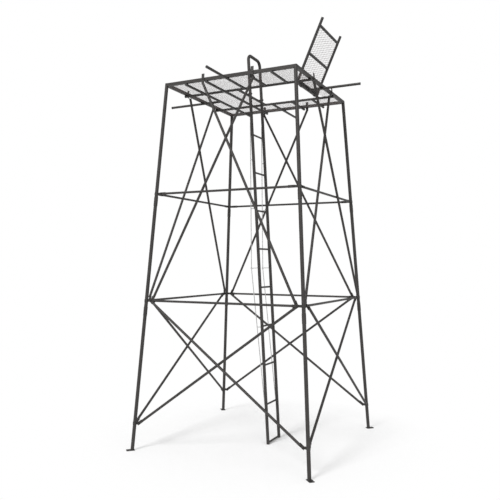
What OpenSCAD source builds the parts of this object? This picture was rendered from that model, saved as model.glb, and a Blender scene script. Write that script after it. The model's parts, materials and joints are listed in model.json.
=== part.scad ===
// Quadrupod hunting tower: four battered legs, two rings, X braces, a mesh deck with a
// hinged hatch, a leaning ladder with a grab hoop, and four outrigger arms.
// Millimetres, +Z up, origin on the ground at the centre. Front is -Y, right is +X.

/* [Tower] */
// height of the deck's top above the ground
tower_h = 3660; // [3000:10:4400]
// outside width of the deck over its rims
deck_w = 1432; // [1200:10:1800]
// distance between neighbouring leg axes on the ground
foot_spread = 1856; // [1600:2:2300]
// height of the lower ring of tubes
lower_ring_z = 1468; // [1200:1:1700]
// height of the upper ring of tubes
upper_ring_z = 2535; // [2200:1:2900]
// height of the ankle brackets that hold the lower braces
ankle_z = 264; // [180:1:400]

/* [Tubes] */
// diameter of a leg
leg_d = 35; // [32:1:44]
// diameter of a ring tube
ring_d = 22; // [18:1:24]
// diameter of a brace tube
brace_d = 25; // [20:1:28]
// side of the square deck rim tube
rim_w = 30; // [26:1:40]
// diameter of the deck's joists and cross bars
bar_d = 25; // [20:1:28]
// thickness that a brace is flattened to at its ends
flat_t = 4; // [3:0.5:5]
// width of a brace's flattened end
flat_w = 30; // [26:1:34]

/* [Deck] */
// distance between the two joists
joist_gap = 670; // [640:2:760]
// thickness of the expanded mesh
mesh_t = 3; // [2:0.5:4]
// distance of the bar behind the ladder from the centre
ladder_bar_x = -81; // [-100:1:-75]
// distance of the hatch's hinge bar from the centre
hinge_x = 554; // [520:1:580]

/* [Hatch] */
// distance between the hatch's two rails
hatch_w = 552; // [500:2:590]
// diameter of the hatch's tubes
hatch_d = 27; // [20:1:28]
// distance from the hinge to the hatch's middle bar
hatch_mid = 280; // [240:1:340]
// distance from the hinge to the hatch's top bar
hatch_len = 558; // [500:1:559]
// distance from the hinge to the tips of the hatch's rails
hatch_tip = 634; // [626:1:642]
// angle that the open hatch leans past vertical
hatch_lean = 23.9; // [0:0.1:35]

/* [Ladder] */
// distance between the ladder's rail axes
ladder_w = 276; // [270:1:400]
// diameter of a ladder rail
rail_d = 32; // [24:1:34]
// diameter of a rung
rung_d = 19; // [16:1:22]
// distance between rungs, measured up
rung_pitch = 398.5; // [300:0.5:398.5]
// number of rungs above the base bar
rungs = 9; // [6:1:9]
// distance of the ladder's rails from the centre where they pass the deck
ladder_top_x = -38; // [-46:1:-36]
// distance of the ladder's foot from the centre
ladder_foot_x = 180; // [120:1:260]
// height of the grab hoop's top above the deck
hoop_rise = 391; // [320:5:600]
// radius of the grab hoop's bends
hoop_bend = 60; // [50:1:80]
// diameter of a truss rod
rod_d = 8; // [6:1:10]
// depth of a truss rod behind its rail
rod_depth = 88; // [60:1:110]

/* [Arms] */
// distance of an arm's outer end from the centre
arm_reach = 1104; // [900:5:1300]
// diameter of an arm
arm_d = 25; // [20:1:28]

/* [Feet] */
// side of a foot plate
foot_w = 80; // [75:1:130]
// width of a foot plate across its length
foot_side = 48; // [44:1:90]
// thickness of a foot plate
foot_t = 6; // [4:1:8]
// diameter of the stake hole in a foot plate
stake_d = 13; // [10:1:16]

/* [Hidden] */
$fn = 48;
gap = 0.1;
collar_t = 2.5;
lug_t = 4;
lug_h = 24;
lug_bolt = 60;
bolt_d = 8;
head_r = 7.5;
head_h = 5;
leg_r = leg_d / 2;
collar_r = leg_r + collar_t;
foot_h = foot_spread / 2;
deck_h = deck_w / 2;
axis_h = deck_h - rim_w / 2;
slope = (foot_h - axis_h) / tower_h;
batter = atan(slope);
paddle_t = 4;
out_n = lug_t / 2 + paddle_t;
in_n = lug_t / 2;
outer_n = out_n + brace_d / 2 - flat_t / 2;
inner_n = in_n + brace_d / 2 - flat_t / 2;
rim_n = rim_w / 2 + 1.2;
ring_flat = 26;
leg_len = norm([axis_h - foot_h, axis_h - foot_h, tower_h]);
ankle_bolt = 42;
brace_top = 268;
brace_drop = 40;
tip_rise = 38;
bay = axis_h / 3;
rim_z = tower_h - rim_w / 2;
bar_z = tower_h - rim_w - bar_d / 2 - gap;
mesh_z = bar_z + bar_d / 2 + gap;
joist_y = joist_gap / 2;
rim_in = axis_h - rim_w / 2;
mesh_in = rim_in - gap;
hatch_r = hatch_d / 2;
hinge_rise = bar_d / 2 + hatch_r + 3.5;
hinge_z = bar_z + hinge_rise;
stop_turn = 90 - asin((bar_d / 2 + 2.3) / hinge_rise);
closed = 90 + hatch_lean;
strap_w = 30;
strap_y = 190;
strap_r = hatch_r + 4;
strap_gap = 5;
rail_r = rail_d / 2;
lean = atan((ladder_foot_x - ladder_top_x) / bar_z);
ladder_run = ladder_top_x + rail_r + 1 - ladder_bar_x + bar_d / 2;
hoop_len = (tower_h + hoop_rise) / cos(lean) - hoop_bend - rail_r;
cap_t = 5;
arm_in = [joist_y, hinge_x, joist_y, axis_h - bay];

function leg_at(z) = foot_h - slope * z;
function rise(z) = z / cos(batter);
function rail_x(z) = ladder_foot_x - z * tan(lean);

// ---------- helpers ----------

// a round bar from point p to point q
module bar(p, q, d) {
    v = q - p;
    len = norm(v);
    translate(p)
        rotate([0, acos(v[2] / len), atan2(v[1], v[0])])
            cylinder(h = len, d = d);
}

// the slanted plane through two neighbouring leg axes: X across, Z up the slope, -Y outwards
module face(i) {
    rotate([0, 0, 90 * i])
        translate([0, -foot_h, 0])
            rotate([-batter, 0, 0])
                children();
}

// a shape along the axis of leg i, with Z up the leg from the ground
module on_leg(i) {
    rotate([0, 0, 90 * i])
        translate([-foot_h, -foot_h, 0])
            rotate([0, acos(tower_h / leg_len), 45])
                children();
}

// the solid of leg i, run past both ends
module leg_core(i, d) {
    on_leg(i)
        translate([0, 0, -60])
            cylinder(h = leg_len + 120, d = d);
}

// a hex bolt head or nut that rises along +Z
module hex(r, h) {
    cylinder(h = h, r = r, $fn = 6);
}

// ---------- legs ----------

module leg(i) {
    sleeve_l = 90;
    lower_s = leg_len * (lower_ring_z - 62) / tower_h;
    upper_s = leg_len * (upper_ring_z - 30) / tower_h;
    difference() {
        union() {
            leg_core(i, leg_d);
            on_leg(i)
                translate([0, 0, lower_s - sleeve_l])
                    cylinder(h = sleeve_l, d = leg_d + 4);
            on_leg(i)
                translate([0, 0, upper_s - sleeve_l])
                    cylinder(h = sleeve_l, d = leg_d + 4);
        }
        translate([-2 * foot_h, -2 * foot_h, -500 + foot_t])
            cube([4 * foot_h, 4 * foot_h, 500]);
        translate([-2 * foot_h, -2 * foot_h, tower_h])
            cube([4 * foot_h, 4 * foot_h, 500]);
    }
}

// the foot plate of leg i: it reaches outwards and takes a stake
module foot_plate(i) {
    rotate([0, 0, 90 * i])
        translate([-foot_h, -foot_h, 0])
            rotate([0, 0, 45])
                difference() {
                    translate([-foot_w * 0.72, -foot_side / 2, 0])
                        cube([foot_w, foot_side, foot_t]);
                    translate([-foot_w * 0.52, 0, -1])
                        cylinder(h = foot_t + 2, d = stake_d);
                }
}

module foot_plates() {
    color([0.2, 0.19, 0.18])
        for (i = [0:3])
            foot_plate(i);
}

// one ear of a bracket, at the left (side = -1) or right (side = 1) leg of face i; its outer
// face is at out_n
module lug(i, side, z, bolt_u, out_n) {
    u = leg_at(z);
    out = bolt_u + lug_h / 2;
    face(i)
        difference() {
            translate([side < 0 ? -u : u - out, -out_n, rise(z) - lug_h / 2])
                cube([out, out_n + lug_t / 2, lug_h]);
            translate([side * (u - bolt_u), 30, rise(z)])
                rotate([90, 0, 0])
                    cylinder(h = 60, d = bolt_d + 2 * gap);
        }
}

// the bracket of leg i at height z: a thin band with the ears of both neighbouring faces
module leg_bracket(i, z, bolt_u, right_n) {
    s = leg_len * z / tower_h;
    difference() {
        union() {
            on_leg(i)
                translate([0, 0, s - lug_h / 2])
                    cylinder(h = lug_h, r = collar_r);
            lug(i, -1, z, bolt_u, in_n);
            lug(i + 3, 1, z, bolt_u, right_n);
        }
        leg_core(i, leg_d + 2 * gap);
    }
}

module leg_brackets() {
    color([0.16, 0.155, 0.15])
        for (i = [0:3]) {
            leg_bracket(i, lower_ring_z, lug_bolt, in_n);
            leg_bracket(i, upper_ring_z, lug_bolt, in_n);
            leg_bracket(i, ankle_z, ankle_bolt, out_n);
        }
}

// ---------- rings ----------

// a ring tube with flattened ends that are bolted on the outside of the ears
module ring_tube(i, z) {
    u = leg_at(z) - lug_bolt;
    start = u - 38;
    difference() {
        face(i)
            union() {
                bar([-start, 0, rise(z)], [start, 0, rise(z)], ring_d);
                for (side = [-1, 1])
                    translate([side < 0 ? -u - 14 : start - 12, -out_n, rise(z) - ring_flat / 2])
                        cube([u + 14 - start + 12, paddle_t, ring_flat]);
            }
        for (side = [-1, 1])
            face(i)
                translate([side * u, 30, rise(z)])
                    rotate([90, 0, 0])
                        cylinder(h = 60, d = bolt_d + 2 * gap);
        if (z > lower_ring_z)
            for (side = [-1, 1])
                upper_core(i, side, brace_d + 2 * gap);
    }
}

module lower_ring() {
    color([0.2, 0.19, 0.18])
        for (i = [0:3])
            ring_tube(i, lower_ring_z);
}

module upper_ring() {
    color([0.2, 0.19, 0.18])
        for (i = [0:3])
            ring_tube(i, upper_ring_z);
}

// ---------- braces ----------

// the straight run of an upper brace's tube
module upper_core(i, side, d) {
    p = lower_p(side);
    foot = upper_foot(side);
    along(i, p, foot)
        translate([30, side > 0 ? -outer_n : inner_n, 0])
            rotate([0, 90, 0])
                cylinder(h = norm(foot - p) - 24, d = d);
}

// places a brace's own frame in face i: X runs from p to q, Y points inwards
module along(i, p, q) {
    face(i)
        translate([p[0], 0, p[1]])
            rotate([0, -atan2(q[1] - p[1], q[0] - p[0]), 0])
                children();
}

// a flattened end whose bolt is at x of the brace's own frame, ahead of it or behind it
module flat_end(x, out) {
    translate([x - (x > 0 ? 49 : 13), out > 0 ? -out_n - flat_t : in_n, -flat_w / 2])
        cube([62, flat_t, flat_w]);
}

module brace_hole(i, p) {
    face(i)
        translate([p[0], 60, p[1]])
            rotate([90, 0, 0])
                cylinder(h = 120, d = bolt_d + 2 * gap);
}

// a lower brace runs from the lower ring's ear to the ankle ear of the next leg
function lower_p(side) = [side * (leg_at(lower_ring_z) - lug_bolt), rise(lower_ring_z)];
function lower_q(side) = [-side * (leg_at(ankle_z) - ankle_bolt), rise(ankle_z)];

// an upper brace runs from the lower ring's ear to the rim
function upper_q(side) = [-side * brace_top, rise(rim_z)];

// the point under the rim where the upper end of an upper brace turns upright
function upper_foot(side) = upper_q(side) - [0, brace_drop];

// one of each pair is outside the leg plane and the other inside, so that they cross freely
module lower_brace(i, side) {
    p = lower_p(side);
    q = lower_q(side);
    len = norm(q - p);
    color([0.2, 0.19, 0.18])
        difference() {
            along(i, p, q)
                union() {
                    flat_end(0, -side);
                    translate([30, side > 0 ? inner_n : -outer_n, 0])
                        rotate([0, 90, 0])
                            cylinder(h = len - 60, d = brace_d);
                    flat_end(len, -side);
                }
            brace_hole(i, p);
            brace_hole(i, q);
        }
}

// its upper end is flattened, cranked out under the rim and bolted upright to the rim's face
module upper_brace(i, side) {
    p = lower_p(side);
    q = upper_q(side);
    foot = upper_foot(side);
    mid_n = side > 0 ? outer_n : -inner_n;
    rim_mid = rim_n + flat_t / 2;
    crank = brace_drop - rim_w / 2 - 8;
    tilt = atan2(rim_mid - mid_n, crank);
    color([0.2, 0.19, 0.18])
        difference() {
            union() {
                upper_core(i, side, brace_d);
                along(i, p, foot)
                    flat_end(0, side);
                face(i)
                    translate([foot[0] - flat_w / 2 + 1, -mid_n, foot[1]])
                        rotate([tilt, 0, 0])
                            translate([0, -flat_t / 2, -9])
                                cube([flat_w - 2, flat_t, norm([rim_mid - mid_n, crank]) + 10]);
                face(i)
                    translate([foot[0] - flat_w / 2, -rim_n - flat_t, q[1] - rim_w / 2 - 10])
                        cube([flat_w, flat_t, rim_w + 10 + tip_rise]);
            }
            brace_hole(i, p);
            brace_hole(i, q);
        }
}

// ---------- deck frame ----------

// a square rim tube: the side ones butt against the front and back ones
module rim(i) {
    reach = i % 2 == 0 ? axis_h : rim_in - gap;
    color([0.2, 0.19, 0.18])
        difference() {
            rotate([0, 0, 90 * i])
                translate([-reach, -deck_h, tower_h - rim_w])
                    cube([2 * reach, rim_w, rim_w]);
            leg_core(i, leg_d + 2 * gap);
            leg_core(i + 1, leg_d + 2 * gap);
            for (side = [-1, 1])
                face(i)
                    translate([side * brace_top, -rim_w / 2 + 12, rise(rim_z)])
                        rotate([90, 0, 0])
                            cylinder(h = 60, d = bolt_d + 2 * gap);
        }
}

// the joists and cross bars run under the rims and are plugged flush with their faces
module joist(y) {
    bar([-deck_h + cap_t, y, bar_z], [deck_h - cap_t, y, bar_z], bar_d);
}

module joists() {
    color([0.2, 0.19, 0.18]) {
        joist(-joist_y);
        joist(joist_y);
    }
}

// a cross bar at x between y0 and y1, cut to the joists' curve
module cross_bar(x, y0, y1) {
    difference() {
        bar([x, y0, bar_z], [x, y1, bar_z], bar_d);
        for (y = [-joist_y, joist_y])
            bar([-deck_h, y, bar_z], [deck_h, y, bar_z], bar_d + 2 * gap);
    }
}

// the bar behind the ladder, with the two stubs that the ladder's rails are bolted to
module ladder_bar() {
    difference() {
        union() {
            cross_bar(ladder_bar_x, -joist_y, joist_y);
            for (side = [-1, 1])
                bar([ladder_bar_x, side * ladder_w / 2, bar_z],
                    [ladder_top_x, side * ladder_w / 2, bar_z], bar_d - 7);
        }
        for (side = [-1, 1]) {
            ladder_rail(side, rail_d + 2 * gap);
            bar([ladder_bar_x - 40, side * ladder_w / 2, bar_z],
                [ladder_top_x + 60, side * ladder_w / 2, bar_z], bolt_d + 2 * gap);
        }
    }
}

module cross_bars() {
    color([0.2, 0.19, 0.18]) {
        for (k = [1, 2, 4, 5]) {
            cross_bar(-axis_h + k * bay, -deck_h + cap_t, -joist_y);
            cross_bar(-axis_h + k * bay, joist_y, deck_h - cap_t);
        }
        for (k = [1:2])
            cross_bar(-axis_h + k * bay, -joist_y, joist_y);
        ladder_bar();
        cross_bar(hinge_x, -joist_y, joist_y);
    }
}

// ---------- deck mesh ----------

module deck_panel(x0, y0, x1, y1) {
    color([0.62, 0.57, 0.56])
        translate([x0, y0, mesh_z])
            cube([x1 - x0, y1 - y0, mesh_t]);
}

module deck_front() {
    deck_panel(-mesh_in, -mesh_in, mesh_in, -joist_y);
}

module deck_back() {
    deck_panel(-mesh_in, joist_y, mesh_in, mesh_in);
}

module deck_left() {
    deck_panel(-mesh_in, -joist_y + gap, ladder_bar_x - 6, joist_y - gap);
}

module deck_right() {
    deck_panel(hinge_x + 36, -joist_y + gap, mesh_in, joist_y - gap);
}

// ---------- hatch ----------

// the hatch's own frame: X runs from the hinge to the tips, Y along the hinge, Z is its top
module hatch_pose() {
    translate([hinge_x, 0, hinge_z])
        rotate([0, closed, 0])
            mirror([1, 0, 0])
                children();
}

module hatch_rails() {
    color([0.17, 0.165, 0.16])
        hatch_pose()
            difference() {
                for (side = [-1, 1])
                    bar([0, side * hatch_w / 2, 0], [hatch_tip, side * hatch_w / 2, 0], hatch_d);
                bar([0, -hatch_w, 0], [0, hatch_w, 0], hatch_d + 2 * gap);
            }
}

// a bar between the rails, cut to their curve
module hatch_bar(x) {
    difference() {
        bar([x, -hatch_w / 2, 0], [x, hatch_w / 2, 0], hatch_d);
        for (side = [-1, 1])
            bar([0, side * hatch_w / 2, 0], [hatch_tip, side * hatch_w / 2, 0], hatch_d + 2 * gap);
    }
}

// a tab on the bottom bar that meets the hinge bar when the hatch is open
module stop_tab(y) {
    translate([hinge_x, y - 10, hinge_z])
        rotate([0, stop_turn, 0])
            translate([hatch_r - 3, 0, -2])
                cube([18, 20, 4]);
}

module hatch_bars() {
    color([0.17, 0.165, 0.16]) {
        union() {
            hatch_pose()
                bar([0, -hatch_w / 2 - hatch_r, 0], [0, hatch_w / 2 + hatch_r, 0], hatch_d);
            stop_tab(-140);
            stop_tab(140);
        }
        hatch_pose() {
            hatch_bar(hatch_mid);
            hatch_bar(hatch_len);
        }
    }
}

module hatch_panel(x0, x1) {
    inside = hatch_w / 2 - hatch_r;
    translate([x0 + hatch_r, -inside, -mesh_t / 2])
        cube([x1 - x0 - hatch_d, 2 * inside, mesh_t]);
}

module hatch_mesh() {
    color([0.62, 0.57, 0.56])
        hatch_pose()
            difference() {
                union() {
                    hatch_panel(0, hatch_mid);
                    hatch_panel(hatch_mid, hatch_len);
                }
                for (side = [-1, 1])
                    translate([0, side * strap_y - strap_w / 2 - strap_gap, -mesh_t])
                        cube([strap_r + strap_gap, strap_w + 2 * strap_gap, 2 * mesh_t]);
            }
}

// a double strap: one eye grips the hinge bar and the hatch's bottom bar turns in the other
module hinge_strap(y) {
    y0 = y - strap_w / 2;
    y1 = y + strap_w / 2;
    difference() {
        union() {
            bar([hinge_x, y0, hinge_z], [hinge_x, y1, hinge_z], 2 * strap_r);
            bar([hinge_x, y0, bar_z], [hinge_x, y1, bar_z], bar_d + 8);
        }
        bar([hinge_x, y - 20, hinge_z], [hinge_x, y + 20, hinge_z], hatch_d + 0.8);
        bar([hinge_x, y - 20, bar_z], [hinge_x, y + 20, bar_z], bar_d + 2 * gap);
    }
}

module hatch_hinges() {
    color([0.12, 0.12, 0.12]) {
        hinge_strap(-strap_y);
        hinge_strap(strap_y);
    }
}

// ---------- ladder ----------

// along the ladder: Z runs up the rails from the ground, X is across the tread side
module ladder_pose() {
    translate([ladder_foot_x, 0, 0])
        rotate([0, -lean, 0])
            children();
}

module ladder_rail(side, d) {
    ladder_pose()
        translate([0, side * ladder_w / 2, -30])
            cylinder(h = hoop_len + 30, d = d);
}

module ladder_rails() {
    color([0.2, 0.19, 0.18])
        difference() {
            for (side = [-1, 1])
                ladder_rail(side, rail_d);
            translate([-500, -500, -100])
                cube([1500, 1000, 100]);
            for (side = [-1, 1])
                bar([ladder_bar_x - 40, side * ladder_w / 2, bar_z],
                    [ladder_bar_x + 70, side * ladder_w / 2, bar_z], bolt_d + 2 * gap);
        }
}

module grab_hoop() {
    across = ladder_w - 2 * hoop_bend;
    color([0.2, 0.19, 0.18])
        ladder_pose()
            translate([0, 0, hoop_len]) {
                for (side = [-1, 1])
                    translate([0, side * across / 2, 0])
                        rotate([90, 0, side * 90])
                            rotate_extrude(angle = 90)
                                translate([hoop_bend, 0])
                                    circle(d = rail_d);
                translate([0, across / 2, hoop_bend])
                    rotate([90, 0, 0])
                        cylinder(h = across, d = rail_d);
            }
}

module rung(z) {
    difference() {
        bar([rail_x(z), -ladder_w / 2, z], [rail_x(z), ladder_w / 2, z], rung_d);
        for (side = [-1, 1])
            ladder_rail(side, rail_d + 2 * gap);
    }
}

module ladder_rungs() {
    color([0.2, 0.19, 0.18])
        for (k = [0:rungs])
            rung(k == 0 ? rail_r : k * rung_pitch);
}

// a thin rod bowed behind each rail, held off it by four posts
module truss_rod(side) {
    foot_s = rung_pitch;
    knee_s = 1800;
    top_s = tower_h - 330;
    y = side * ladder_w / 2;
    posts = [1190, 1800, 2420, 2930];
    difference() {
        ladder_pose()
            union() {
                bar([-rail_r, y, foot_s], [-rod_depth, y, knee_s], rod_d);
                translate([-rod_depth, y + 6, knee_s])
                    rotate([90, 0, 0])
                        cylinder(h = 12, d = rod_d + 8);
                bar([-rod_depth, y, knee_s], [-rail_r, y, top_s], rod_d);
                for (s = posts) {
                    run = s < knee_s ? (s - foot_s) / (knee_s - foot_s) : (top_s - s) / (top_s - knee_s);
                    bar([0, y, s], [-rail_r - (rod_depth - rail_r) * run, y, s], rod_d);
                }
            }
        ladder_rail(side, rail_d + 2 * gap);
    }
}

module truss_rods() {
    color([0.55, 0.55, 0.55]) {
        truss_rod(-1);
        truss_rod(1);
    }
}

// ---------- arms ----------

// an arm slides in under the rim as far as the first bar inside it
module arm(i) {
    difference() {
        rotate([0, 0, 90 * i])
            bar([0, -arm_reach + cap_t, bar_z], [0, -arm_in[i], bar_z], arm_d);
        rotate([0, 0, 90 * i])
            bar([-100, -arm_in[i], bar_z], [100, -arm_in[i], bar_z], bar_d + 2 * gap);
    }
}

module outrigger_arms() {
    color([0.2, 0.19, 0.18])
        for (i = [0:3])
            arm(i);
}

// the black plugs: on the arms' ends, and in the ends of the bars under the rims
module tube_caps() {
    color([0.05, 0.05, 0.05]) {
        for (i = [0:3])
            rotate([0, 0, 90 * i])
                bar([0, -arm_reach, bar_z], [0, -arm_reach + cap_t, bar_z], arm_d + 3);
        for (side = [-1, 1]) {
            for (k = [1, 2, 4, 5])
                bar([-axis_h + k * bay, side * deck_h, bar_z],
                    [-axis_h + k * bay, side * (deck_h - cap_t), bar_z], bar_d);
            for (y = [-joist_y, joist_y])
                bar([side * deck_h, y, bar_z], [side * (deck_h - cap_t), y, bar_z], bar_d);
        }
    }
}

// ---------- bolts ----------

// a bolt through face i at [across, up the slope]: head at depth n0, nut at depth n1
module face_bolt(i, p, n0, n1) {
    face(i)
        translate([p[0], -n0, p[1]])
            rotate([90, 0, 0]) {
                hex(head_r, head_h);
                translate([0, 0, -(n0 - n1)])
                    cylinder(h = n0 - n1 + 1, d = bolt_d);
                translate([0, 0, -(n0 - n1) - head_h])
                    hex(head_r, head_h);
            }
}

module bolts() {
    color([0.1, 0.1, 0.1]) {
        for (i = [0:3])
            for (side = [-1, 1]) {
                face_bolt(i, lower_p(side), out_n + flat_t, -in_n - flat_t);
                face_bolt(i, [side * (leg_at(upper_ring_z) - lug_bolt), rise(upper_ring_z)],
                    out_n, -in_n);
                face_bolt(i, lower_q(side), side > 0 ? in_n : out_n + flat_t,
                    side > 0 ? -in_n - flat_t : -in_n);
                face(i)
                    translate([side * brace_top, -rim_n - flat_t, rise(rim_z)])
                        rotate([90, 0, 0]) {
                            hex(head_r, head_h);
                            translate([0, 0, -flat_t - 10])
                                cylinder(h = flat_t + 11, d = bolt_d);
                        }
            }
        for (side = [-1, 1])
            translate([ladder_top_x + rail_r + 1, side * ladder_w / 2, bar_z])
                rotate([0, 90, 0]) {
                    hex(head_r, head_h);
                    translate([0, 0, -ladder_run])
                        cylinder(h = ladder_run + 1, d = bolt_d);
                    translate([0, 0, -ladder_run - head_h])
                        hex(head_r, head_h);
                }
    }
}

// ---------- nodes ----------

module leg_front_left() { color([0.2, 0.19, 0.18]) leg(0); }
module leg_front_right() { color([0.2, 0.19, 0.18]) leg(1); }
module leg_back_right() { color([0.2, 0.19, 0.18]) leg(2); }
module leg_back_left() { color([0.2, 0.19, 0.18]) leg(3); }
module lower_brace_front_a() { lower_brace(0, -1); }
module lower_brace_front_b() { lower_brace(0, 1); }
module lower_brace_right_a() { lower_brace(1, -1); }
module lower_brace_right_b() { lower_brace(1, 1); }
module lower_brace_back_a() { lower_brace(2, -1); }
module lower_brace_back_b() { lower_brace(2, 1); }
module lower_brace_left_a() { lower_brace(3, -1); }
module lower_brace_left_b() { lower_brace(3, 1); }
module upper_brace_front_a() { upper_brace(0, -1); }
module upper_brace_front_b() { upper_brace(0, 1); }
module upper_brace_right_a() { upper_brace(1, -1); }
module upper_brace_right_b() { upper_brace(1, 1); }
module upper_brace_back_a() { upper_brace(2, -1); }
module upper_brace_back_b() { upper_brace(2, 1); }
module upper_brace_left_a() { upper_brace(3, -1); }
module upper_brace_left_b() { upper_brace(3, 1); }
module rim_front() { rim(0); }
module rim_right() { rim(1); }
module rim_back() { rim(2); }
module rim_left() { rim(3); }

leg_front_left();
leg_front_right();
leg_back_right();
leg_back_left();
foot_plates();
leg_brackets();
lower_ring();
upper_ring();
lower_brace_front_a();
lower_brace_front_b();
lower_brace_right_a();
lower_brace_right_b();
lower_brace_back_a();
lower_brace_back_b();
lower_brace_left_a();
lower_brace_left_b();
upper_brace_front_a();
upper_brace_front_b();
upper_brace_right_a();
upper_brace_right_b();
upper_brace_back_a();
upper_brace_back_b();
upper_brace_left_a();
upper_brace_left_b();
rim_front();
rim_right();
rim_back();
rim_left();
joists();
cross_bars();
deck_front();
deck_back();
deck_left();
deck_right();
hatch_rails();
hatch_bars();
hatch_mesh();
hatch_hinges();
ladder_rails();
grab_hoop();
ladder_rungs();
truss_rods();
outrigger_arms();
tube_caps();
bolts();
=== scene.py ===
"""The hunting tower stand: materials, expanded mesh and weld beads over the CAD frame."""

import json
import math

import bmesh
import bpy
import numpy as np
from mathutils import Matrix, Vector


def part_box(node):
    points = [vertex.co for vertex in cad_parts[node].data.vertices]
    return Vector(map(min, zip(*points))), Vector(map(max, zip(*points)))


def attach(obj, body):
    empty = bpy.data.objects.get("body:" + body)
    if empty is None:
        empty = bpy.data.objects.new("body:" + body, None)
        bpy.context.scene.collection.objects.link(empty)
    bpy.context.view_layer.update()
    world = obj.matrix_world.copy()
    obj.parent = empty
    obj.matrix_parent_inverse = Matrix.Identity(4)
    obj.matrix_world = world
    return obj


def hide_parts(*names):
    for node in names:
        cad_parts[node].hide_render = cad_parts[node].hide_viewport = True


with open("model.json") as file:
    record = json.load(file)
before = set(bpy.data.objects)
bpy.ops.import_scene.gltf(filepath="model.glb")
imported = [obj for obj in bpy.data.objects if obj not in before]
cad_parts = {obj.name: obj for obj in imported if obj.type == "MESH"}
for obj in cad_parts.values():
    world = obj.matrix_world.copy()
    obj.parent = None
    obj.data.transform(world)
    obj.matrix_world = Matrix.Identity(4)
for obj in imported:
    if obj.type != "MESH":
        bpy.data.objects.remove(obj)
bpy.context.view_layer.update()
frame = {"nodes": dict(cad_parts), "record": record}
scene = bpy.context.scene
rng = np.random.default_rng(7)

# ---------- sizes repeated from the CAD source, in metres ----------

TOWER_H = 3.66
DECK_W = 1.432
FOOT_SPREAD = 1.856
RIM_W = 0.030
BAR_D = 0.025
GAP = 0.0001
MESH_T = 0.003
JOIST_Y = 0.335
HINGE_X = 0.554
LADDER_BAR_X = -0.081
STRAP_W = 0.030
STRAP_Y = 0.190
STRAP_GAP = 0.005
STRAP_T = 0.004
HINGE_LIFT = 0.0035
LEG_D = 0.035
LADDER_FOOT_X = 0.180
LADDER_TOP_X = -0.038
LADDER_W = 0.276
RAIL_D = 0.032
RUNG_D = 0.019
RUNG_PITCH = 0.3985
RUNGS = 9
HATCH_W = 0.552
HATCH_D = 0.027
HATCH_MID = 0.280
HATCH_LEN = 0.558
HATCH_LEAN = math.radians(23.9)
FOOT_T = 0.006

AXIS_H = DECK_W / 2 - RIM_W / 2
FOOT_H = FOOT_SPREAD / 2
SLOPE = (FOOT_H - AXIS_H) / TOWER_H
BAY = AXIS_H / 3
BAR_Z = TOWER_H - RIM_W - BAR_D / 2 - GAP
MESH_Z = BAR_Z + BAR_D / 2 + GAP + MESH_T / 2
HINGE_Z = BAR_Z + BAR_D / 2 + HATCH_D / 2 + HINGE_LIFT
STRAP_R = HATCH_D / 2 + STRAP_T
LEAN_T = (LADDER_FOOT_X - LADDER_TOP_X) / BAR_Z


def leg_at(z):
    """How far a leg's axis stands from the middle planes at height z."""
    return FOOT_H - SLOPE * z


def rail_x(z):
    """X of the ladder rails' axes at height z."""
    return LADDER_FOOT_X - z * LEAN_T


# ---------- materials ----------


def new_material(name):
    m = bpy.data.materials.new(name)
    m.use_nodes = True
    tree = m.node_tree
    shader = tree.nodes["Principled BSDF"]
    return m, tree, shader


def noise(tree, scale, detail=4.0, rough=0.55):
    coord = tree.nodes.new("ShaderNodeTexCoord")
    tex = tree.nodes.new("ShaderNodeTexNoise")
    tex.inputs["Scale"].default_value = scale
    tex.inputs["Detail"].default_value = detail
    tex.inputs["Roughness"].default_value = rough
    tree.links.new(coord.outputs["Object"], tex.inputs["Vector"])
    return tex.outputs["Fac"]


def ramp(tree, fac, stops):
    r = tree.nodes.new("ShaderNodeValToRGB")
    el = r.color_ramp.elements
    el[0].position, el[0].color = stops[0][0], (*stops[0][1], 1)
    el[1].position, el[1].color = stops[-1][0], (*stops[-1][1], 1)
    for pos, col in stops[1:-1]:
        e = el.new(pos)
        e.color = (*col, 1)
    tree.links.new(fac, r.inputs["Fac"])
    return r.outputs["Color"]


def bump(tree, shader, fac, strength, distance):
    b = tree.nodes.new("ShaderNodeBump")
    b.inputs["Strength"].default_value = strength
    b.inputs["Distance"].default_value = distance
    tree.links.new(fac, b.inputs["Height"])
    tree.links.new(b.outputs["Normal"], shader.inputs["Normal"])


def powder_coat(name, base, spread=0.16, rough=0.5):
    """Powder-coated steel: cloudy tone, faint dust, orange-peel bump."""
    m, tree, shader = new_material(name)
    dark = tuple(c * (1 - spread) for c in base)
    light = tuple(c * (1 + spread) + 0.004 for c in base)
    cloud = noise(tree, 9.0, 5.0)
    fine = noise(tree, 160.0, 3.0)
    mix = tree.nodes.new("ShaderNodeMix")
    mix.data_type = "RGBA"
    mix.blend_type = "OVERLAY"
    mix.inputs["Factor"].default_value = 0.22
    tree.links.new(ramp(tree, cloud, [(0.32, dark), (0.5, base), (0.7, light)]), mix.inputs["A"])
    dust = ramp(tree, fine, [(0.3, (0.38, 0.38, 0.38)), (0.7, (0.62, 0.62, 0.62))])
    tree.links.new(dust, mix.inputs["B"])
    tree.links.new(mix.outputs["Result"], shader.inputs["Base Color"])
    wear = ramp(tree, cloud, [(0.3, (rough - 0.07,) * 3), (0.7, (rough + 0.1,) * 3)])
    tree.links.new(wear, shader.inputs["Roughness"])
    shader.inputs["Metallic"].default_value = 0.25
    shader.inputs["Specular IOR Level"].default_value = 0.5
    bump(tree, shader, noise(tree, 700.0, 2.0), 0.12, 0.0004)
    return m


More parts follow.
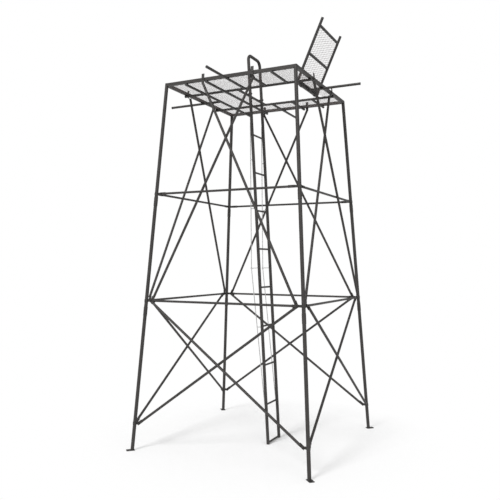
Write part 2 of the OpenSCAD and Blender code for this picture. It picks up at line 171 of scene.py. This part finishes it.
def zinc(name):
    m, tree, shader = new_material(name)
    cloud = noise(tree, 40.0, 4.0)
    tint = ramp(tree, cloud, [(0.3, (0.36, 0.36, 0.36)), (0.7, (0.56, 0.56, 0.555))])
    tree.links.new(tint, shader.inputs["Base Color"])
    rough = ramp(tree, cloud, [(0.3, (0.3, 0.3, 0.3)), (0.7, (0.48, 0.48, 0.48))])
    tree.links.new(rough, shader.inputs["Roughness"])
    shader.inputs["Metallic"].default_value = 0.7
    bump(tree, shader, noise(tree, 300.0, 2.0), 0.1, 0.0003)
    return m


def plastic(name):
    m, tree, shader = new_material(name)
    grain = noise(tree, 500.0, 2.0)
    tint = ramp(tree, noise(tree, 30.0), [(0.3, (0.014, 0.014, 0.014)), (0.7, (0.026, 0.026, 0.026))])
    tree.links.new(tint, shader.inputs["Base Color"])
    shader.inputs["Roughness"].default_value = 0.55
    bump(tree, shader, grain, 0.15, 0.0003)
    return m


def black_oxide(name):
    m, tree, shader = new_material(name)
    cloud = noise(tree, 90.0, 4.0)
    tint = ramp(tree, cloud, [(0.3, (0.022, 0.021, 0.02)), (0.7, (0.05, 0.047, 0.045))])
    tree.links.new(tint, shader.inputs["Base Color"])
    rough = ramp(tree, cloud, [(0.3, (0.32, 0.32, 0.32)), (0.7, (0.5, 0.5, 0.5))])
    tree.links.new(rough, shader.inputs["Roughness"])
    shader.inputs["Metallic"].default_value = 0.8
    bump(tree, shader, cloud, 0.08, 0.0004)
    return m


MATERIALS = {
    "frame_steel": powder_coat("frame_steel", (0.031, 0.028, 0.026)),
    "bracket_steel": powder_coat("bracket_steel", (0.030, 0.028, 0.026), 0.2),
    "hatch_steel": powder_coat("hatch_steel", (0.026, 0.024, 0.023)),
    "deck_mesh": powder_coat("deck_mesh", (0.18, 0.135, 0.13), 0.2, 0.55),
    "weld": powder_coat("weld", (0.028, 0.026, 0.024), 0.3, 0.42),
    "rod_steel": zinc("rod_steel"),
    "cap_black": plastic("cap_black"),
    "bolt_black": black_oxide("bolt_black"),
}
for part in frame["record"]["subparts"]:
    obj = frame["nodes"][part["node"]]
    obj.data.materials.clear()
    obj.data.materials.append(MATERIALS[part["material_slot"]])


def new_piece(name, verts, faces, slot, body="tower", smooth=None, matrix=None):
    """Makes a mesh piece from lists and gives it its material, slot and body."""
    mesh = bpy.data.meshes.new(name)
    mesh.from_pydata([tuple(v) for v in verts], [], [tuple(f) for f in faces])
    mesh.validate()
    if matrix is not None:
        mesh.transform(matrix)
    mesh.materials.append(MATERIALS[slot])
    obj = bpy.data.objects.new(name, mesh)
    scene.collection.objects.link(obj)
    if smooth is not None:
        for p in mesh.polygons:
            p.use_smooth = True
        mesh.set_sharp_from_angle(angle=math.radians(smooth))
    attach(obj, body)
    return obj


# ---------- expanded mesh ----------

MESH_SHORT = 0.0235
MESH_LONG = 0.062
DECK_STRAND = (0.0038, 0.0022)
HATCH_STRAND = (0.0022, 0.0016)
STRAND_TILT = 0.0003
KNUCKLE = 0.8  # how far strands run on past a crossing, in half widths


def expanded_mesh(x0, y0, x1, y1, long_x, strand):
    """Expanded metal in a flat rectangle at z 0.

    long_x: the diamonds' long way is along X; strand: its width and thickness.
    """
    a, b = (MESH_LONG, MESH_SHORT) if long_x else (MESH_SHORT, MESH_LONG)
    nx = int((x1 - x0) / a) + 2
    ny = int((y1 - y0) / b) + 2
    bm = bmesh.new()
    w, t = strand[0] / 2, strand[1] / 2
    for i in range(-1, nx):
        for j in range(-1, ny):
            cx, cy = x0 + i * a, y0 + j * b
            for px, py, qx, qy in (
                (cx, cy, cx + a / 2, cy + b / 2),
                (cx + a / 2, cy + b / 2, cx + a, cy),
                (cx, cy + b, cx + a / 2, cy + b / 2),
                (cx + a / 2, cy + b / 2, cx + a, cy + b),
            ):
                dx, dy = qx - px, qy - py
                n = math.hypot(dx, dy)
                ex, ey = dx / n * w * KNUCKLE, dy / n * w * KNUCKLE
                ox, oy = -dy / n * w, dx / n * w
                px, py, qx, qy = px - ex, py - ey, qx + ex, qy + ey
                corners = (
                    (px + ox, py + oy, STRAND_TILT),
                    (px - ox, py - oy, -STRAND_TILT),
                    (qx - ox, qy - oy, -STRAND_TILT),
                    (qx + ox, qy + oy, STRAND_TILT),
                )
                low = [bm.verts.new((x, y, z - t)) for x, y, z in corners]
                top = [bm.verts.new((x, y, z + t)) for x, y, z in corners]
                bm.faces.new(low)
                bm.faces.new(top[::-1])
                bm.faces.new((low[1], low[0], top[0], top[1]))
                bm.faces.new((low[3], low[2], top[2], top[3]))
    low_corner, high_corner = (x0, y0, 0), (x1, y1, 0)
    sides = (
        (low_corner, (-1, 0, 0)),
        (low_corner, (0, -1, 0)),
        (high_corner, (1, 0, 0)),
        (high_corner, (0, 1, 0)),
    )
    for co, no in sides:
        geom = bm.verts[:] + bm.edges[:] + bm.faces[:]
        bmesh.ops.bisect_plane(bm, geom=geom, plane_co=co, plane_no=no, clear_outer=True)
    bmesh.ops.recalc_face_normals(bm, faces=bm.faces)
    bm.verts.index_update()
    verts = [tuple(v.co) for v in bm.verts]
    faces = [tuple(v.index for v in f.verts) for f in bm.faces]
    bm.free()
    return verts, faces


for node in ("deck_front", "deck_back", "deck_left", "deck_right"):
    lo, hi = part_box(node)
    verts, faces = expanded_mesh(lo[0], lo[1], hi[0], hi[1], True, DECK_STRAND)
    raised = Matrix.Translation((0, 0, MESH_Z))
    piece = new_piece(node + "_mesh", verts, faces, "deck_mesh", matrix=raised)
    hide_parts(node)

# the hatch's own frame: local X runs from the hinge to the tips
hatch_x = Vector((math.sin(HATCH_LEAN), 0, math.cos(HATCH_LEAN)))
hatch_y = Vector((0, 1, 0))
hatch_z = hatch_x.cross(hatch_y)
HATCH = Matrix((
    (hatch_x[0], hatch_y[0], hatch_z[0], HINGE_X),
    (hatch_x[1], hatch_y[1], hatch_z[1], 0),
    (hatch_x[2], hatch_y[2], hatch_z[2], HINGE_Z),
    (0, 0, 0, 1),
))
# two full fields beyond the hinge straps, and three short ones between the straps
r = HATCH_D / 2
inside = HATCH_W / 2 - r
verts, faces = [], []
clear = STRAP_W / 2 + STRAP_GAP
fields = [
    (STRAP_R + STRAP_GAP, -inside, HATCH_MID - r, inside),
    (HATCH_MID + r, -inside, HATCH_LEN - r, inside),
]
edges = (-inside, -STRAP_Y - clear, -STRAP_Y + clear, STRAP_Y - clear, STRAP_Y + clear, inside)
fields += [(r, edges[k], STRAP_R + STRAP_GAP, edges[k + 1]) for k in (0, 2, 4)]
for a0, b0, a1, b1 in fields:
    v, f = expanded_mesh(a0, b0, a1, b1, False, HATCH_STRAND)
    faces += [tuple(i + len(verts) for i in face) for face in f]
    verts += v
piece = new_piece("hatch_expanded_mesh", verts, faces, "deck_mesh", "hatch", matrix=HATCH)
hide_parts("hatch_mesh")

# ---------- welds ----------

AROUND = 28
BEAD = 8
SAME_SIZE = 0.99  # keeps the saddle of two equal tubes from closing on itself
FLAT = 0.0001  # parent radius that stands for a flat plate
RUNG_BEAD = 0.0019
BAR_BEAD = 0.0022
FOOT_BEAD = 0.0028
FOOT_BEAD_RISE = 0.0005


def sweep(path, thick, verts, faces):
    """Adds a rippled bead along a closed path of (point, outward) pairs."""
    first = len(verts)
    count = len(path)
    for i, (point, out) in enumerate(path):
        ahead = (path[(i + 1) % count][0] - path[i - 1][0]).normalized()
        side = ahead.cross(out).normalized()
        r = thick * (1 + 0.22 * math.sin(i * 2.4) + float(rng.uniform(-0.1, 0.1)))
        for k in range(BEAD):
            a = 2 * math.pi * k / BEAD
            verts.append(point + out * (r * math.cos(a)) + side * (r * math.sin(a)))
    for i in range(count):
        j = (i + 1) % count
        for k in range(BEAD):
            m = (k + 1) % BEAD
            here, there = first + i * BEAD, first + j * BEAD
            faces.append((here + k, there + k, there + m, here + m))


def saddle(point, child, parent, big_r, small_r):
    """The closed line where a tube of small_r leaves a tube of big_r through point."""
    child, parent = Vector(child).normalized(), Vector(parent).normalized()
    across = child.cross(parent).normalized()
    path = []
    for i in range(AROUND):
        a = 2 * math.pi * i / AROUND
        off = small_r * math.cos(a)
        deep = math.sqrt(max(big_r**2 - off**2, 0.0))
        out = across * math.cos(a) + parent * math.sin(a)
        on_line = Vector(point) + child * deep + out * small_r
        path.append((on_line, (out + child * 0.6).normalized()))
    return path


def welds(name, joints, thick, body="tower", matrix=None):
    """One piece with a bead at each joint of (point, child axis, parent axis, parent r, child r)."""
    verts, faces = [], []
    for joint in joints:
        sweep(saddle(*joint), thick, verts, faces)
    new_piece(name, verts, faces, "weld", body, 60, matrix)


lean_axis = (-LEAN_T, 0, 1)
joints = []
for k in range(RUNGS + 1):
    z = RAIL_D / 2 if k == 0 else k * RUNG_PITCH
    for side in (-1, 1):
        point = (rail_x(z), side * LADDER_W / 2, z)
        joints.append((point, (0, -side, 0), lean_axis, RAIL_D / 2, RUNG_D / 2))
welds("rung_welds", joints, RUNG_BEAD)

joints = []
bar_r = BAR_D / 2
for k in (1, 2, 4, 5):
    for side in (-1, 1):
        point = (-AXIS_H + k * BAY, side * JOIST_Y, BAR_Z)
        joints.append((point, (0, side, 0), (1, 0, 0), bar_r, bar_r * SAME_SIZE))
for x in (-AXIS_H + BAY, -AXIS_H + 2 * BAY, LADDER_BAR_X, HINGE_X):
    for side in (-1, 1):
        point = (x, side * JOIST_Y, BAR_Z)
        joints.append((point, (0, -side, 0), (1, 0, 0), bar_r, bar_r * SAME_SIZE))
welds("deck_welds", joints, BAR_BEAD)

joints = []
hatch_r = HATCH_D / 2
for x in (HATCH_MID, HATCH_LEN):
    for side in (-1, 1):
        point = (x, side * HATCH_W / 2, 0)
        joints.append((point, (0, -side, 0), (1, 0, 0), hatch_r, hatch_r * SAME_SIZE))
welds("hatch_welds", joints, BAR_BEAD, "hatch", HATCH)

joints = []
weld_z = FOOT_T + FOOT_BEAD_RISE
for sx in (-1, 1):
    for sy in (-1, 1):
        point = (sx * leg_at(weld_z), sy * leg_at(weld_z), weld_z)
        joints.append((point, (0, 0, 1), (1, 0, 0), FLAT, LEG_D / 2))
welds("foot_welds", joints, FOOT_BEAD)

# ---------- stage, light and camera ----------


def backdrop(name, fade):
    """A white surface for the camera; fade: keeps the object's shadow near its feet."""
    m = bpy.data.materials.new(name)
    m.use_nodes = True
    tree = m.node_tree
    tree.nodes.clear()
    out = tree.nodes.new("ShaderNodeOutputMaterial")
    diffuse = tree.nodes.new("ShaderNodeBsdfDiffuse")
    diffuse.inputs["Color"].default_value = (0.92, 0.92, 0.92, 1)
    glow = tree.nodes.new("ShaderNodeEmission")
    glow.inputs["Color"].default_value = (1, 1, 1, 1)
    path = tree.nodes.new("ShaderNodeLightPath")
    seen = path.outputs["Is Camera Ray"]
    for ray in ("Is Glossy Ray", "Is Transmission Ray"):
        add = tree.nodes.new("ShaderNodeMath")
        add.operation = "MAXIMUM"
        tree.links.new(seen, add.inputs[0])
        tree.links.new(path.outputs[ray], add.inputs[1])
        seen = add.outputs[0]
    geo = tree.nodes.new("ShaderNodeNewGeometry")
    length = tree.nodes.new("ShaderNodeVectorMath")
    length.operation = "LENGTH"
    tree.links.new(geo.outputs["Position"], length.inputs[0])
    reach = tree.nodes.new("ShaderNodeMapRange")
    reach.inputs["From Min"].default_value = fade[0]
    reach.inputs["From Max"].default_value = fade[1]
    tree.links.new(length.outputs["Value"], reach.inputs["Value"])
    fac = tree.nodes.new("ShaderNodeMath")
    fac.operation = "MULTIPLY"
    tree.links.new(seen, fac.inputs[0])
    tree.links.new(reach.outputs["Result"], fac.inputs[1])
    mix = tree.nodes.new("ShaderNodeMixShader")
    tree.links.new(fac.outputs[0], mix.inputs["Fac"])
    tree.links.new(diffuse.outputs[0], mix.inputs[1])
    tree.links.new(glow.outputs[0], mix.inputs[2])
    tree.links.new(mix.outputs[0], out.inputs["Surface"])
    return m


mesh = bpy.data.meshes.new("floor")
mesh.from_pydata([(-60, -60, 0), (60, -60, 0), (60, 60, 0), (-60, 60, 0)], [], [(0, 1, 2, 3)])
mesh.materials.append(backdrop("floor_white", (0.9, 2.0)))
floor = bpy.data.objects.new("floor", mesh)
scene.collection.objects.link(floor)

world = bpy.data.worlds.new("studio")
scene.world = world
world.use_nodes = True
tree = world.node_tree
tree.nodes.clear()
out = tree.nodes.new("ShaderNodeOutputWorld")
dome = tree.nodes.new("ShaderNodeBackground")
dome.inputs["Color"].default_value = (1, 1, 1, 1)
dome.inputs["Strength"].default_value = 0.66
white = tree.nodes.new("ShaderNodeBackground")
white.inputs["Color"].default_value = (1, 1, 1, 1)
white.inputs["Strength"].default_value = 1.0
path = tree.nodes.new("ShaderNodeLightPath")
seen = tree.nodes.new("ShaderNodeMath")
seen.operation = "MAXIMUM"
tree.links.new(path.outputs["Is Camera Ray"], seen.inputs[0])
tree.links.new(path.outputs["Is Transmission Ray"], seen.inputs[1])
mix = tree.nodes.new("ShaderNodeMixShader")
tree.links.new(seen.outputs[0], mix.inputs["Fac"])
tree.links.new(dome.outputs[0], mix.inputs[1])
tree.links.new(white.outputs[0], mix.inputs[2])
tree.links.new(mix.outputs[0], out.inputs["Surface"])


def sun(name, strength, angle, direction):
    lamp = bpy.data.lights.new(name, "SUN")
    lamp.energy = strength
    lamp.angle = math.radians(angle)
    obj = bpy.data.objects.new(name, lamp)
    obj.rotation_euler = Vector(direction).to_track_quat("-Z", "Y").to_euler()
    scene.collection.objects.link(obj)


sun("key", 2.0, 18, (0.15, 0.75, -0.62))
sun("fill", 0.5, 40, (-0.7, 0.5, -0.3))

cam_data = bpy.data.cameras.new("camera")
cam_data.sensor_width = 36
cam_data.lens = 44.07768
cam_data.clip_end = 200
camera = bpy.data.objects.new("camera", cam_data)
yaw, pitch, roll = 0.45951, 0.02156, 0.00373
eye = (2.7944, -5.8539, 1.84357)
fwd = Vector((-math.sin(yaw) * math.cos(pitch), math.cos(yaw) * math.cos(pitch), math.sin(pitch)))
right = Vector((math.cos(yaw), math.sin(yaw), 0))
up = right.cross(fwd)
cam_x = right * math.cos(roll) + up * math.sin(roll)
cam_y = up * math.cos(roll) - right * math.sin(roll)
camera.matrix_world = Matrix((
    (cam_x[0], cam_y[0], -fwd[0], eye[0]),
    (cam_x[1], cam_y[1], -fwd[1], eye[1]),
    (cam_x[2], cam_y[2], -fwd[2], eye[2]),
    (0, 0, 0, 1),
))
scene.collection.objects.link(camera)
scene.camera = camera
scene.view_settings.view_transform = "Standard"
